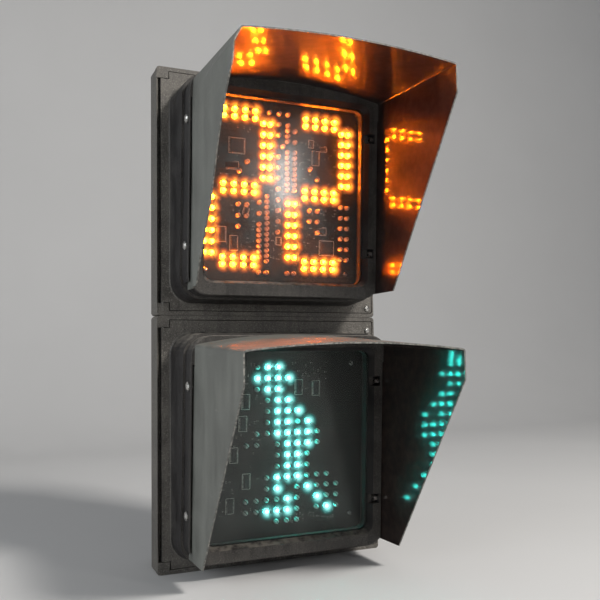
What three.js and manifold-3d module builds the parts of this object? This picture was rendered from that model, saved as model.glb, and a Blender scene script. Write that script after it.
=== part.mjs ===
// A pedestrian traffic light: two square sections of one design, stacked on a hollow coupler.
// The upper section is a countdown display and the lower one a walking figure.
// Millimetres, +Z up, front facing -Y. The origin is on the vertical bracket axis, level with
// the bottom face of the lower section. Each section is drawn in its own frame, whose z starts
// at that section's bottom face, and "height" means the distance forward of the front rim.
import * as THREE from 'three';
import { mergeVertices } from 'three/addons/utils/BufferGeometryUtils.js';
import Module from 'manifold-3d';

const wasm = await Module();
wasm.setup();

// ---- driving dimensions ----
const pitch = 362;              // from one section's bottom face to the next one's
const seamGap = 0.4;            // left between the two front trays
const halfWidth = 175;
const frontY = -70;             // plane of the front rim
const trayDepth = 37;
const boxInset = 16;            // rear box, inside the tray's outline all round
const boxHalfWidth = halfWidth - boxInset;
const rearY = 33;
const wall = 3;
const touch = 0.3;              // gap between pieces that meet
const corner = 4;               // segments in a quarter turn of an outline

const rim = { side: 2.6, end: 6, depth: 12, ledge: 3 };
const doorway = { halfWidth: 151, bottom: 22, top: 332, radius: 12 };
const lug = { width: 17.4, height: 17, depth: 13 };
const hinge = { x: -166, y: -65, pinRadius: 2, holeRadius: 2.3, barrelRadius: 4.2, barrelLength: 16 };
const boss = { radius: 30, hole: 21, topDrop: 2.3 };

const plate = { left: -169, right: 171, bottom: 7, top: 354.6, thickness: 4 };
const doorScrew = { x: 162.5, zs: { bottom: 14, top: 341 }, headRadius: 4.5, shankRadius: 2.2 };

const lean = 0.065;             // how far the display leans forward, per unit of height up it
const leanMiddle = pitch / 2;
const leanFull = 45;            // height of the bezel at which its lean is complete
const bezelMiddle = 177;
const bezel = { halfWidth: 157.7, halfHeight: 161.5, radius: 32, stepHeight: 50, frontHeight: 76 };
const cheekInset = 8;           // the bezel's front step, inside its foot
const cheekX = bezel.halfWidth - cheekInset;
const lensOpening = { halfWidth: 123.4, halfHeight: 131.4, radius: 12, height: 66 };
const pocket = { halfWidth: 128.5, halfHeight: 136.5, radius: 15 };
const groove = { outer: 147, inner: 141.5, bottom: 31, top: 291, floor: 56 };

const visor = {
  sheet: 2, rearHalfWidth: 145.6, frontHalfWidth: 147, cornerRadius: 6,
  rearTop: 334, rearSag: 15, frontTop: 316, frontSag: 9,
  rearHeight: 60, lowerHeight: 114, frontHeight: 278, kink: 269, bottom: 31.5,
};
const visorScrew = { offsets: [-86, 86], behindRing: 7.5, headRadius: 6.3, shankRadius: 2.4 };

const board = { halfWidth: 127, halfHeight: 134, back: 30.4, front: 32, fixX: 112, fixZ: 113 };
const tray = { halfWidth: 146, halfHeight: 150, back: 3, front: 5, postX: 136, postZ: 140 };

// ---- materials ----
const finish = {
  housing: { color: 0x3a3936, roughness: 0.72, metalness: 0 },
  visor: { color: 0x55564f, roughness: 0.55, metalness: 0.1 },
  rubber: { color: 0x161616, roughness: 0.9, metalness: 0 },
  lens: { color: 0xd8dedb, roughness: 0.1, metalness: 0, transparent: true, opacity: 0.3 },
  retainer: { color: 0x24231f, roughness: 0.6, metalness: 0 },
  board: { color: 0x15201a, roughness: 0.5, metalness: 0 },
  steel: { color: 0xb6b3aa, roughness: 0.35, metalness: 1 },
  zinc: { color: 0x8f9088, roughness: 0.45, metalness: 0.9 },
  aluminium: { color: 0x9a9c9b, roughness: 0.4, metalness: 0.9 },
  wire: { color: 0x1d1d1d, roughness: 0.6, metalness: 0 },
  terminal: { color: 0xcfcabd, roughness: 0.6, metalness: 0 },
};

// ---- solids ----
function solid(geometry) {
  const bare = geometry.clone();
  bare.deleteAttribute('normal');
  bare.deleteAttribute('uv');
  const merged = mergeVertices(bare, 1e-4);
  return new wasm.Manifold(new wasm.Mesh({
    numProp: 3,
    vertProperties: merged.attributes.position.array,
    triVerts: new Uint32Array(merged.index.array),
  }));
}

function join(...geometries) {
  return geometries.map(solid).reduce((sum, part) => sum.add(part));
}

function cut(whole, ...geometries) {
  return geometries.map(solid).reduce((rest, part) => rest.subtract(part), whole);
}

function toGeometry(manifold) {
  const mesh = manifold.getMesh();
  const geometry = new THREE.BufferGeometry();
  geometry.setAttribute('position', new THREE.BufferAttribute(mesh.vertProperties, 3));
  geometry.setIndex(new THREE.BufferAttribute(mesh.triVerts, 1));
  geometry.computeVertexNormals();
  return geometry;
}

// ---- outlines and extrusions ----
function roundedRect(left, right, bottom, top, radius) {
  const shape = new THREE.Shape();
  shape.moveTo(left + radius, bottom);
  shape.absarc(right - radius, bottom + radius, radius, -Math.PI / 2, 0);
  shape.absarc(right - radius, top - radius, radius, 0, Math.PI / 2);
  shape.absarc(left + radius, top - radius, radius, Math.PI / 2, Math.PI);
  shape.absarc(left + radius, bottom + radius, radius, Math.PI, 1.5 * Math.PI);
  return shape;
}

// An outline drawn in x and z, running from yBack forward to yFront.
function slab(shape, yBack, yFront) {
  const geometry = new THREE.ExtrudeGeometry(shape, {
    depth: yBack - yFront, bevelEnabled: false, curveSegments: corner,
  });
  geometry.rotateX(Math.PI / 2);
  geometry.translate(0, yBack, 0);
  return geometry;
}

function block(x0, x1, y0, y1, z0, z1) {
  const geometry = new THREE.BoxGeometry(x1 - x0, y1 - y0, z1 - z0);
  geometry.translate((x0 + x1) / 2, (y0 + y1) / 2, (z0 + z1) / 2);
  return geometry;
}

// An outline drawn in y and z, running along x.
function sideSlab(points, x0, x1) {
  const shape = new THREE.Shape(points.map(([y, z]) => new THREE.Vector2(y, z)));
  const geometry = new THREE.ExtrudeGeometry(shape, { depth: x1 - x0, bevelEnabled: false });
  const turn = new THREE.Matrix4().makeBasis(
    new THREE.Vector3(0, 1, 0), new THREE.Vector3(0, 0, 1), new THREE.Vector3(1, 0, 0));
  geometry.applyMatrix4(turn);
  geometry.translate(x0, 0, 0);
  return geometry;
}

// An outline drawn in x and y, running up z.
function post(points, z0, z1) {
  const shape = new THREE.Shape(points.map(([x, y]) => new THREE.Vector2(x, y)));
  const geometry = new THREE.ExtrudeGeometry(shape, { depth: z1 - z0, bevelEnabled: false });
  geometry.translate(0, 0, z0);
  return geometry;
}

function uprightCylinder(radius, x, y, z0, z1, sides = 24) {
  const geometry = new THREE.CylinderGeometry(radius, radius, z1 - z0, sides);
  geometry.rotateX(Math.PI / 2);
  geometry.translate(x, y, (z0 + z1) / 2);
  return geometry;
}

function forwardCylinder(radius, x, z, y0, y1, sides = 10) {
  const geometry = new THREE.CylinderGeometry(radius, radius, y1 - y0, sides);
  geometry.translate(x, (y0 + y1) / 2, z);
  return geometry;
}

function sidewaysCylinder(radius, y, z, x0, x1, sides = 16) {
  const geometry = new THREE.CylinderGeometry(radius, radius, x1 - x0, sides);
  geometry.rotateZ(Math.PI / 2);
  geometry.translate((x0 + x1) / 2, y, z);
  return geometry;
}

// ---- the lean of the display ----
// Flat pieces inside the bezel lie in planes that all lean by the same amount.
function leanedY(height, z) {
  return frontY - height - lean * (z - leanMiddle);
}

function leanedSlab(shape, back, front) {
  const geometry = slab(shape, frontY - back, frontY - front);
  const place = geometry.attributes.position;
  for (let i = 0; i < place.count; i += 1) {
    place.setY(i, place.getY(i) - lean * (place.getZ(i) - leanMiddle));
  }
  return geometry;
}

function centredRect(half, grow = 0) {
  return roundedRect(-half.halfWidth - grow, half.halfWidth + grow, bezelMiddle - half.halfHeight - grow,
    bezelMiddle + half.halfHeight + grow, half.radius + grow);
}

// A wall with draft: the outline shrinks by each level's inset as the height grows, and the lean
// comes in gradually, so that the foot stays flat on the door plate.
function drafted(half, levels) {
  const steps = levels.length - 1;
  const geometry = new THREE.ExtrudeGeometry(centredRect(half), {
    depth: steps, steps, bevelEnabled: false, curveSegments: corner,
  });
  const place = geometry.attributes.position;
  for (let i = 0; i < place.count; i += 1) {
    const { height, inset } = levels[Math.round(place.getZ(i))];
    const x = place.getX(i) * (1 - inset / half.halfWidth);
    const z = bezelMiddle + (place.getY(i) - bezelMiddle) * (1 - inset / half.halfHeight);
    const share = THREE.MathUtils.clamp(height / leanFull, 0, 1);
    place.setXYZ(i, x, frontY - height - share * lean * (z - leanMiddle), z);
  }
  return geometry;
}

function turned(profile, sides = 20) {
  return new THREE.LatheGeometry(profile.map(([r, z]) => new THREE.Vector2(r, z)), sides);
}

// A turned piece whose axis points along the given direction from the given place.
function turnedAlong(profile, direction, place, sides) {
  const geometry = turned(profile, sides);
  const turn = new THREE.Quaternion().setFromUnitVectors(new THREE.Vector3(0, 1, 0), direction);
  geometry.applyQuaternion(turn);
  geometry.translate(...place);
  return geometry;
}

// ---- scene helpers ----
const group = new THREE.Group();

function addPiece(parent, name, geometry, look) {
  const mesh = new THREE.Mesh(geometry, new THREE.MeshStandardMaterial(look));
  mesh.name = name;
  parent.add(mesh);
}

// ---- housing ----
function housingGeometry() {
  const top = pitch - seamGap;
  const ledgeBack = frontY + rim.depth + rim.ledge;
  const trayBack = frontY + trayDepth;
  const rimTop = top - rim.end;
  const whole = join(
    slab(roundedRect(-halfWidth, halfWidth, 0, top, 5), trayBack, frontY),
    slab(roundedRect(-boxHalfWidth, boxHalfWidth, boxInset, pitch - boxInset, 14), rearY, trayBack - 1),
    uprightCylinder(boss.radius, 0, 0, 0, pitch - boss.topDrop),
  );
  const opened = cut(whole,
    slab(roundedRect(-halfWidth + rim.side, halfWidth - rim.side, rim.end, rimTop, 3),
      frontY + rim.depth, frontY - 1),
    slab(roundedRect(-doorway.halfWidth, doorway.halfWidth, doorway.bottom, doorway.top, doorway.radius),
      ledgeBack + 1, frontY),
    slab(roundedRect(-halfWidth + wall, halfWidth - wall, wall, top - wall, 3), trayBack - wall, ledgeBack),
    slab(roundedRect(-boxHalfWidth + wall, boxHalfWidth - wall, boxInset + wall, pitch - boxInset - wall, 11),
      rearY - wall, trayBack - wall - 1),
    uprightCylinder(boss.hole, 0, 0, -1, pitch + 1),
    post([[-halfWidth + 0.4, frontY - 0.1], [-halfWidth + rim.side + 0.1, frontY - 0.1],
      [-halfWidth + rim.side + 0.1, frontY + 3]], lug.height + 0.5, top - lug.height - 0.5),
  );
  const lugBack = frontY + lug.depth;
  const lugRight = -halfWidth + lug.width;
  const additions = join(
    block(-halfWidth + 1, lugRight, frontY, lugBack, 1, lug.height),
    block(-halfWidth + 1, lugRight, frontY, lugBack, top - lug.height, top - 1),
    ...Object.values(doorScrew.zs).map((z) =>
      forwardCylinder(5.5, doorScrew.x, z, ledgeBack - 1, ledgeBack + 14)),
  );
  const housing = opened.add(additions);
  return toGeometry(cut(housing,
    uprightCylinder(hinge.holeRadius, hinge.x, hinge.y, 6, lug.height + 1, 12),
    uprightCylinder(hinge.holeRadius, hinge.x, hinge.y, top - lug.height - 1, top - 6, 12),
    ...Object.values(doorScrew.zs).map((z) =>
      forwardCylinder(3.2, doorScrew.x, z, frontY, ledgeBack + 12, 12)),
  ));
}

// ---- door with its bezel ----
function ringY(z) {
  return leanedY(bezel.frontHeight, z);
}

function visorScrewPlaces() {
  return [-1, 1].flatMap((side) => visorScrew.offsets.map((offset) => {
    const z = bezelMiddle + offset;
    return { side, y: ringY(z) + visorScrew.behindRing, z };
  }));
}

function spanX(side, near, far) {
  return side > 0 ? [near, far] : [-far, -near];
}

function doorGeometry() {
  const back = frontY + plate.thickness;
  const barrelFoot = lug.height + 1;
  const barrelHead = pitch - seamGap - lug.height - 1;
  const outer = join(
    slab(roundedRect(plate.left, plate.right, plate.bottom, plate.top, 3), back, frontY),
    drafted(bezel, [{ height: -1, inset: 0 }, { height: 0, inset: 0 }, { height: 1.5, inset: 1.6 },
      { height: 5, inset: 2.6 }, { height: bezel.stepHeight, inset: 4.7 }]),
    drafted(bezel, [{ height: bezel.stepHeight - 3, inset: cheekInset },
      { height: bezel.frontHeight - 1, inset: cheekInset },
      { height: bezel.frontHeight, inset: cheekInset + 1.2 }]),
    uprightCylinder(hinge.barrelRadius, hinge.x, hinge.y, barrelFoot, barrelFoot + hinge.barrelLength, 16),
    uprightCylinder(hinge.barrelRadius, hinge.x, hinge.y, barrelHead - hinge.barrelLength, barrelHead, 16),
  );
  const opening = drafted(lensOpening, [{ height: bezel.stepHeight - 4, inset: 0 },
    { height: lensOpening.height, inset: 0 }, { height: bezel.frontHeight + 1, inset: -5 }]);
  const hollows = [
    block(plate.left - 5, -halfWidth + lug.width + 1.2, frontY - 1, back + 1, 0, lug.height + 1),
    block(plate.left - 5, -halfWidth + lug.width + 1.2, frontY - 1, back + 1, barrelHead, pitch),
    drafted(bezel, [{ height: -plate.thickness - 1, inset: 3.4 }, { height: 5, inset: 5.6 },
      { height: bezel.stepHeight - 4, inset: 7.7 }]),
    leanedSlab(centredRect(pocket), bezel.stepHeight - 6, lensOpening.height),
    opening,
    ...[-1, 1].map((side) => sideSlab([
      [leanedY(groove.floor, groove.bottom), groove.bottom], [leanedY(groove.floor, groove.top), groove.top],
      [ringY(groove.top) - 20, groove.top], [ringY(groove.bottom) - 20, groove.bottom],
    ], ...spanX(side, groove.inner, groove.outer))),
    uprightCylinder(hinge.holeRadius, hinge.x, hinge.y, barrelFoot - 1, barrelFoot + 13, 12),
    uprightCylinder(hinge.holeRadius, hinge.x, hinge.y, barrelHead - 13, barrelHead + 1, 12),
    ...Object.values(doorScrew.zs).map((z) => forwardCylinder(3.2, doorScrew.x, z, frontY - 1, back + 1, 12)),
  ];
  const notches = visorScrewPlaces().flatMap(({ side, y, z }) => [
    sidewaysCylinder(2.8, y, z, ...spanX(side, 136, 152), 12),
    block(...spanX(side, 130.5, 137.5), ringY(z) - 5, y + 5.2, z - 7, z + 7),
    block(...spanX(side, 122, 131), ringY(z) - 5, y + 1.2, z - 7, z + 7),
  ]);
  return toGeometry(cut(outer, ...hollows, ...notches));
}

// ---- parts of the display, carried by the door ----
function ringSlab(outer, outerGrow, inner, innerGrow, back, front) {
  const whole = solid(leanedSlab(centredRect(outer, outerGrow), back, front));
  return cut(whole, leanedSlab(centredRect(inner, innerGrow), back - 1, front + 1));
}

function doorGasketGeometry() {
  const whole = solid(slab(centredRect(bezel, 1.9),
    frontY + rim.depth - touch, frontY + plate.thickness + touch));
  return toGeometry(cut(whole, slab(centredRect(bezel, -2.9), 0, frontY)));
}

function fourPlaces(x, z) {
  return [-1, 1].flatMap((i) => [-1, 1].map((j) => [i * x, bezelMiddle + j * z]));
}

function trayGeometry() {
  const pillar = (radius, front, back, [x, z], sides) =>
    forwardCylinder(radius, x, z, leanedY(front, z), leanedY(back, z), sides);
  const boardPosts = fourPlaces(board.fixX, board.fixZ);
  const bodyPosts = fourPlaces(tray.postX, tray.postZ);
  const whole = join(
    leanedSlab(roundedRect(-tray.halfWidth, tray.halfWidth, bezelMiddle - tray.halfHeight,
      bezelMiddle + tray.halfHeight, 24), tray.back, tray.front),
    ...boardPosts.map((place) => pillar(4, board.back - 0.6, tray.back + 1, place, 10)),
    ...bodyPosts.map((place) => pillar(4.5, bezel.stepHeight - 5.4, tray.back + 1, place, 10)),
  );
  return toGeometry(cut(whole,
    ...boardPosts.map((place) => pillar(2, board.back + 1, board.back - 7.5, place, 8))));
}

function boardGeometry() {
  const whole = solid(leanedSlab(roundedRect(-board.halfWidth, board.halfWidth,
    bezelMiddle - board.halfHeight, bezelMiddle + board.halfHeight, 4), board.back, board.front));
  return toGeometry(cut(whole, ...fourPlaces(board.fixX, board.fixZ).map(([x, z]) =>
    forwardCylinder(2, x, z, leanedY(board.front + 2, z), leanedY(board.back - 2, z), 8))));
}

// ---- visor ----
// The sheet's cross-section at a share of the way forward: straight sides and an arched top.
function visorTop(share, x) {
  const top = THREE.MathUtils.lerp(visor.rearTop, visor.frontTop, share);
  const sag = THREE.MathUtils.lerp(visor.rearSag, visor.frontSag, share);
  return top - sag * (x / visor.rearHalfWidth) ** 2;
}

function visorLoft(offset, from, to) {
  const side = visor.rearHalfWidth - offset;
  const radius = visor.cornerRadius - offset;
  const shoulder = visorTop(0, side) - offset;
  const shape = new THREE.Shape();
  shape.moveTo(-side, -40);
  shape.lineTo(side, -40);
  shape.absarc(side - radius, shoulder - radius, radius, 0, Math.PI * 0.45);
  const arch = 10;
  for (let i = 1; i < arch; i += 1) {
    const x = (side - radius) * (1 - 2 * i / arch);
    shape.lineTo(x, visorTop(0, x) - offset);
  }
  shape.absarc(-side + radius, shoulder - radius, radius, Math.PI * 0.55, Math.PI);
  const geometry = new THREE.ExtrudeGeometry(shape, { depth: 1, bevelEnabled: false, curveSegments: 3 });
  const place = geometry.attributes.position;
  for (let i = 0; i < place.count; i += 1) {
    const height = place.getZ(i) < 0.5 ? from : to;
    const share = (height - visor.rearHeight) / (visor.frontHeight - visor.rearHeight);
    const x = place.getX(i);
    const z = place.getY(i) + visorTop(share, x) - visorTop(0, x);
    const spread = 1 + share * (visor.frontHalfWidth / visor.rearHalfWidth - 1);
    place.setXYZ(i, x * spread, frontY - height, z);
  }
  return solid(geometry);
}

function visorGeometry() {
  const farForward = visor.frontHeight + 10;
  const sheet = visorLoft(0, visor.rearHeight - 30, farForward)
    .subtract(visorLoft(visor.sheet, visor.rearHeight - 31, farForward + 1));
  const seat = groove.top - 2;
  const tongue = (z) => leanedY(visor.rearHeight, z);
  const side = solid(sideSlab([
    [tongue(visor.bottom), visor.bottom], [tongue(seat), seat],
    [ringY(seat) - 0.6, seat], [ringY(350) - 0.6, 350],
    [frontY - visor.frontHeight, 350], [frontY - visor.frontHeight, visor.kink],
    [frontY - visor.lowerHeight, visor.bottom],
  ], -halfWidth, halfWidth));
  const holes = visorScrewPlaces().map(({ side: hand, y, z }) =>
    sidewaysCylinder(3, y, z, ...spanX(hand, 140, 150), 12));
  return toGeometry(cut(sheet.intersect(side), ...holes));
}

// ---- fasteners ----
function screwProfile(headRadius, headHeight, shankRadius, length) {
  return [[0, -length], [shankRadius, -length], [shankRadius, 0], [headRadius, 0],
    [headRadius, headHeight * 0.45], [headRadius * 0.62, headHeight * 0.88], [0, headHeight]];
}

function hexNut(radius, hole, length, direction, place, sides = 12) {
  const outer = new THREE.CylinderGeometry(radius, radius, length, 6);
  const inner = new THREE.CylinderGeometry(hole, hole, length + 2, sides);
  const nut = toGeometry(cut(solid(outer), inner));
  nut.applyQuaternion(new THREE.Quaternion().setFromUnitVectors(new THREE.Vector3(0, 1, 0), direction));
  nut.translate(...place);
  return nut;
}

const up = new THREE.Vector3(0, 0, 1);
const forward = new THREE.Vector3(0, -1, 0);

// ---- power supply: a finned box on the housing's rear wall ----
function supplyGeometry() {
  const fins = 9;
  const profile = [[140, 29.7], [30, 29.7], [30, 2]];
  for (let i = 0; i < fins; i += 1) {
    const x = 30 + (i + 0.5) * (110 / fins);
    profile.push([x - 2, 2], [x - 2, -6], [x + 2, -6], [x + 2, 2]);
  }
  profile.push([140, 2]);
  return post(profile, 100, 250);
}

function terminalGeometry() {
  const whole = solid(block(-125, -45, 12, 29.7, 150, 186));
  const ways = [0, 1, 2, 3, 4, 5].map((i) => -118.5 + i * 13.4);
  return toGeometry(cut(whole,
    ...ways.map((x) => block(x - 4.5, x + 4.5, 11, 20, 176, 187)),
    ...ways.map((x) => forwardCylinder(3, x, 164, 11, 17, 8))));
}

// ---- one section ----
function addSection(name, baseZ) {
  const section = new THREE.Group();
  section.position.z = baseZ;
  group.add(section);
  const add = (piece, geometry, look) => addPiece(section, `${name}_${piece}`, geometry, look);
  const sectionTop = pitch - seamGap;

  add('housing', housingGeometry(), finish.housing);
  add('door', doorGeometry(), finish.housing);
  for (const [place, low] of Object.entries({ bottom: 7, top: sectionTop - 30 })) {
    add(`hinge_pin_${place}`,
      uprightCylinder(hinge.pinRadius, hinge.x, hinge.y, low, low + 23, 14), finish.steel);
  }
  add('door_gasket', doorGasketGeometry(), finish.rubber);
  add('lens_gasket', toGeometry(ringSlab(pocket, -1, lensOpening, 1, 64.6, 65.7)), finish.rubber);
  add('lens', leanedSlab(centredRect(pocket, -1), 61.3, 64.3), finish.lens);
  add('lens_retainer', toGeometry(ringSlab(pocket, -0.5, lensOpening, -1, 52, 61)), finish.retainer);
  add('led_board', boardGeometry(), finish.board);
  add('led_tray', trayGeometry(), finish.retainer);
  add('power_supply', supplyGeometry(), finish.aluminium);
  add('visor', visorGeometry(), finish.visor);

  const spots = ['left_bottom', 'left_top', 'right_bottom', 'right_top'];
  visorScrewPlaces().forEach(({ side, y, z }, i) => {
    const outward = new THREE.Vector3(side, 0, 0);
    const head = [side * (cheekX + touch), y, z];
    const profile = screwProfile(visorScrew.headRadius, 4, visorScrew.shankRadius, 18.4);
    add(`visor_screw_${spots[i]}`, turnedAlong(profile, outward, head, 10), finish.steel);
    add(`visor_nut_${spots[i]}`, hexNut(4.8, 2.7, 5.6, outward, [side * 134.2, y, z]), finish.steel);
  });
  fourPlaces(board.fixX, board.fixZ).forEach(([x, z], i) => {
    const head = [x, leanedY(board.front + 0.6, z), z];
    add(`board_screw_${spots[i]}`, turnedAlong(screwProfile(3.6, 2, 1.6, 7.5), forward, head, 8),
      finish.steel);
  });
  for (const [place, z] of Object.entries(doorScrew.zs)) {
    add(`door_screw_${place}`,
      turnedAlong(screwProfile(doorScrew.headRadius, 2.8, doorScrew.shankRadius, 24), forward,
        [doorScrew.x, frontY - touch, z], 10), finish.steel);
  }
}

addSection('lower', 0);
addSection('upper', pitch);

// ---- shared pieces: terminal block, coupler, top cap and the feed between the sections ----
addPiece(group, 'terminal_block', terminalGeometry(), finish.terminal);

const wallInside = boxInset + wall;
const flangeTop = pitch - wallInside - touch;
const couplerProfile = [[16, 0], [28, 0], [28, 5], [20.5, 5], [20.5, 54], [16, 54], [16, 0]];
addPiece(group, 'coupler', turnedAlong(couplerProfile, up, [0, 0, flangeTop - 5], 24), finish.zinc);
addPiece(group, 'coupler_nut', hexNut(30, 21, 9, up, [0, 0, pitch + wallInside + touch + 4.5], 24),
  finish.zinc);

function sealRing(z) {
  return turnedAlong([[21.5, 0], [29, 0], [29, 1.7], [21.5, 1.7], [21.5, 0]], up, [0, 0, z], 24);
}

addPiece(group, 'coupler_seal', sealRing(pitch - boss.topDrop + touch), finish.rubber);
addPiece(group, 'top_cap_seal', sealRing(2 * pitch - boss.topDrop + touch), finish.rubber);
const capProfile = [[0, 0], [20.5, 0], [20.5, 30], [29.5, 30], [29.5, 32.5], [26, 35], [0, 36]];
addPiece(group, 'top_cap', turnedAlong(capProfile, up, [0, 0, 2 * pitch - 30], 24), finish.housing);
addPiece(group, 'top_cap_nut', hexNut(30, 21, 9, up, [0, 0, 2 * pitch - wallInside - touch - 4.5], 24),
  finish.housing);

const feedRoute = new THREE.CatmullRomCurve3([[-52, 15, 186.4], [-52, 14, 225], [-30, 8, 275], [-4, 0, 318],
  [0, 0, 345], [0, 0, 385], [10, 4, 410], [55, 14, 432], [70, 16, 445], [70, 16, pitch + 99.6]]
  .map(([x, y, z]) => new THREE.Vector3(x, y, z)));
const feedSection = new THREE.Shape().absarc(0, 0, 4, 0, 2 * Math.PI);
addPiece(group, 'feed_cable', new THREE.ExtrudeGeometry(feedSection, {
  extrudePath: feedRoute, steps: 24, curveSegments: 3, bevelEnabled: false,
}), finish.wire);

export default group;
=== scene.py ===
# %% [markdown]
# # A pedestrian signal head in two sections
# The upper section counts down in amber, and the lower one shows a green walking figure. Each section is
# a plastic housing with a hinged door. The door carries a deep bezel, a clear lens, a lamp board and a
# hooded visor. The hard parts come in ready made, and this lesson gives them their finishes, and adds
# what they don't have: the visors' thin sheets, the lamps and the small parts on the boards.

# %% Load the frame
import math
import random

import bmesh
import bpy
from mathutils import Matrix, Vector


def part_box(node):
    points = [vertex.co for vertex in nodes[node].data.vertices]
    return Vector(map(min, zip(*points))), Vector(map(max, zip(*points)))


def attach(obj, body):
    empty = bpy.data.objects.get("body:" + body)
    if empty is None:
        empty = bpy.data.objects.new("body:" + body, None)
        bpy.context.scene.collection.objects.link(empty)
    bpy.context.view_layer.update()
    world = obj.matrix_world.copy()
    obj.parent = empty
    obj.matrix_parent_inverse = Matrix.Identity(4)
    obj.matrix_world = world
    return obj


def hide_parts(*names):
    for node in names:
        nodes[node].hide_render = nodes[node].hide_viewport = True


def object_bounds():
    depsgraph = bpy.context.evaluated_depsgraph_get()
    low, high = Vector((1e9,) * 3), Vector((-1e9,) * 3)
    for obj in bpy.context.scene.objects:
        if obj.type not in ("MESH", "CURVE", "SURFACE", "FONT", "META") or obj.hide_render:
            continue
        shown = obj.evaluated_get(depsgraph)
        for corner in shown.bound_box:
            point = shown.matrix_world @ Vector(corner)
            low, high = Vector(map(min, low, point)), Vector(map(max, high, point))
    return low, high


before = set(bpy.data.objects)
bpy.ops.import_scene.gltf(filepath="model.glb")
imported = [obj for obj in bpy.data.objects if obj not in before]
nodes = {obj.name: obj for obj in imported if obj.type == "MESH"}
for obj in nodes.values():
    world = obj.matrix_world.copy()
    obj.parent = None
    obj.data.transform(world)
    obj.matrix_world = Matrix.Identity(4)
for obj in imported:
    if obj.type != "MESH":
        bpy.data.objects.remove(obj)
frame_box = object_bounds()
MM = 0.001
SECTIONS = ("lower", "upper")

# %% [markdown]
# ## Shader sums
# A finish is a network of nodes, and a network is easier to read when it is written as sums. `Reading`
# wraps one output socket, and Python's operators on it add Math nodes. `Finish` is one material: `add`
# makes any node, and the other methods are the few patterns that weathered plastic and metal need.

# %% Readings and finishes
class Reading:
    """One output socket, which Python's operators build on."""

    def __init__(self, finish, socket):
        self.finish = finish
        self.socket = socket

    def _sum(self, operation, first, second):
        return self.finish.add("ShaderNodeMath", {"operation": operation}, {0: first, 1: second})

    def __add__(self, other):
        return self._sum("ADD", self, other)

    __radd__ = __add__

    def __mul__(self, other):
        return self._sum("MULTIPLY", self, other)

    __rmul__ = __mul__

    def __sub__(self, other):
        return self._sum("SUBTRACT", self, other)

    def __rsub__(self, other):
        return self._sum("SUBTRACT", other, self)

    def __pow__(self, other):
        return self._sum("POWER", self, other)


class Finish:
    """One material, mixed from nodes. Patterns are laid out in metres on the piece itself."""

    def __init__(self, name):
        self.material = bpy.data.materials.new(name)
        self.material.use_nodes = True
        self.tree = self.material.node_tree
        self.tree.nodes.clear()
        self.place = self.add("ShaderNodeTexCoord", output="Object")

    def add(self, kind, settings=None, inputs=None, output=0):
        """Adds a node: first its settings, then the numbers or readings of its inputs."""
        node = self.tree.nodes.new(kind)
        for name, value in (settings or {}).items():
            setattr(node, name, value)
        for name, value in (inputs or {}).items():
            if isinstance(value, Reading):
                self.tree.links.new(value.socket, node.inputs[name])
            else:
                node.inputs[name].default_value = value
        return Reading(self, node.outputs[output]) if node.outputs else node

    def stretched(self, along):
        return self.add("ShaderNodeMapping", {"vector_type": "TEXTURE"},
                        {"Vector": self.place, "Scale": along})

    def noise(self, size, detail=2.0, along=None):
        """A cloudy pattern whose patches are about that size, in metres."""
        place = self.stretched(along) if along else self.place
        return self.add("ShaderNodeTexNoise", None,
                        {"Vector": place, "Scale": 1 / size, "Detail": detail, "Roughness": 0.55})

    def cells(self, size):
        return self.add("ShaderNodeTexVoronoi", None, {"Vector": self.place, "Scale": 1 / size})

    def axis(self, vector, name):
        return self.add("ShaderNodeSeparateXYZ", None, {0: vector}, output=name)

    def upward(self):
        """1 where the surface faces up, 0 where it faces sideways or down."""
        return self.fade(self.axis(self.add("ShaderNodeTexCoord", output="Normal"), "Z"), 0.15, 0.95)

    def forward(self):
        """1 where the surface faces the front, along -Y, and 0 where it faces sideways."""
        return 0.0 - self.axis(self.add("ShaderNodeTexCoord", output="Normal"), "Y")

    def fade(self, value, low, high, start=0.0, end=1.0):
        """Goes smoothly from start to end as value goes from low to high."""
        return self.add("ShaderNodeMapRange", {"interpolation_type": "SMOOTHSTEP"},
                        {"Value": value, "From Min": low, "From Max": high, "To Min": start, "To Max": end})

    def mix(self, amount, first, second):
        """Goes from the first colour to the second by the amount, 0 to 1."""
        first, second = ((*c, 1) if isinstance(c, tuple) else c for c in (first, second))
        return self.add("ShaderNodeMix", {"data_type": "RGBA", "clamp_factor": True},
                        {0: amount, 6: first, 7: second}, output=2)

    def bump(self, height, depth, strength=1.0):
        return self.add("ShaderNodeBump", None,
                        {"Height": height, "Distance": depth, "Strength": strength})

    def coat(self, colour, **sockets):
        """The surface shader itself. Names are the shader's sockets, with _ for a space."""
        inputs = {"Base Color": (*colour, 1) if isinstance(colour, tuple) else colour}
        inputs.update({name.replace("_", " "): value for name, value in sockets.items()})
        return self.add("ShaderNodeBsdfPrincipled", None, inputs)

    def done(self, surface):
        self.add("ShaderNodeOutputMaterial", None, {"Surface": surface})
        return self.material

# %% [markdown]
# ## Weathered plastic
# The housings and doors are moulded in a dark warm-grey plastic with a pebble grain about a millimetre
# across. Years outside leave pale dust in the grain and more of it on every ledge that faces up. The
# bezel's walls are smoother than the door's flat faces, because a grained wall would drag when the
# moulding leaves its mould. They look darker and shinier, so the grain fades where the door turns aside,
# and it is weaker all over the bezel, which stands out in front of the door's flat plate. Where the grain
# fades, the colour turns much darker. That darkness is painted shade, the shade the hood casts on the
# bezel and its walls.

# %% Plastic finishes
NEAR_PLATE, WELL_IN_FRONT = -76 * MM, -90 * MM


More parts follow.
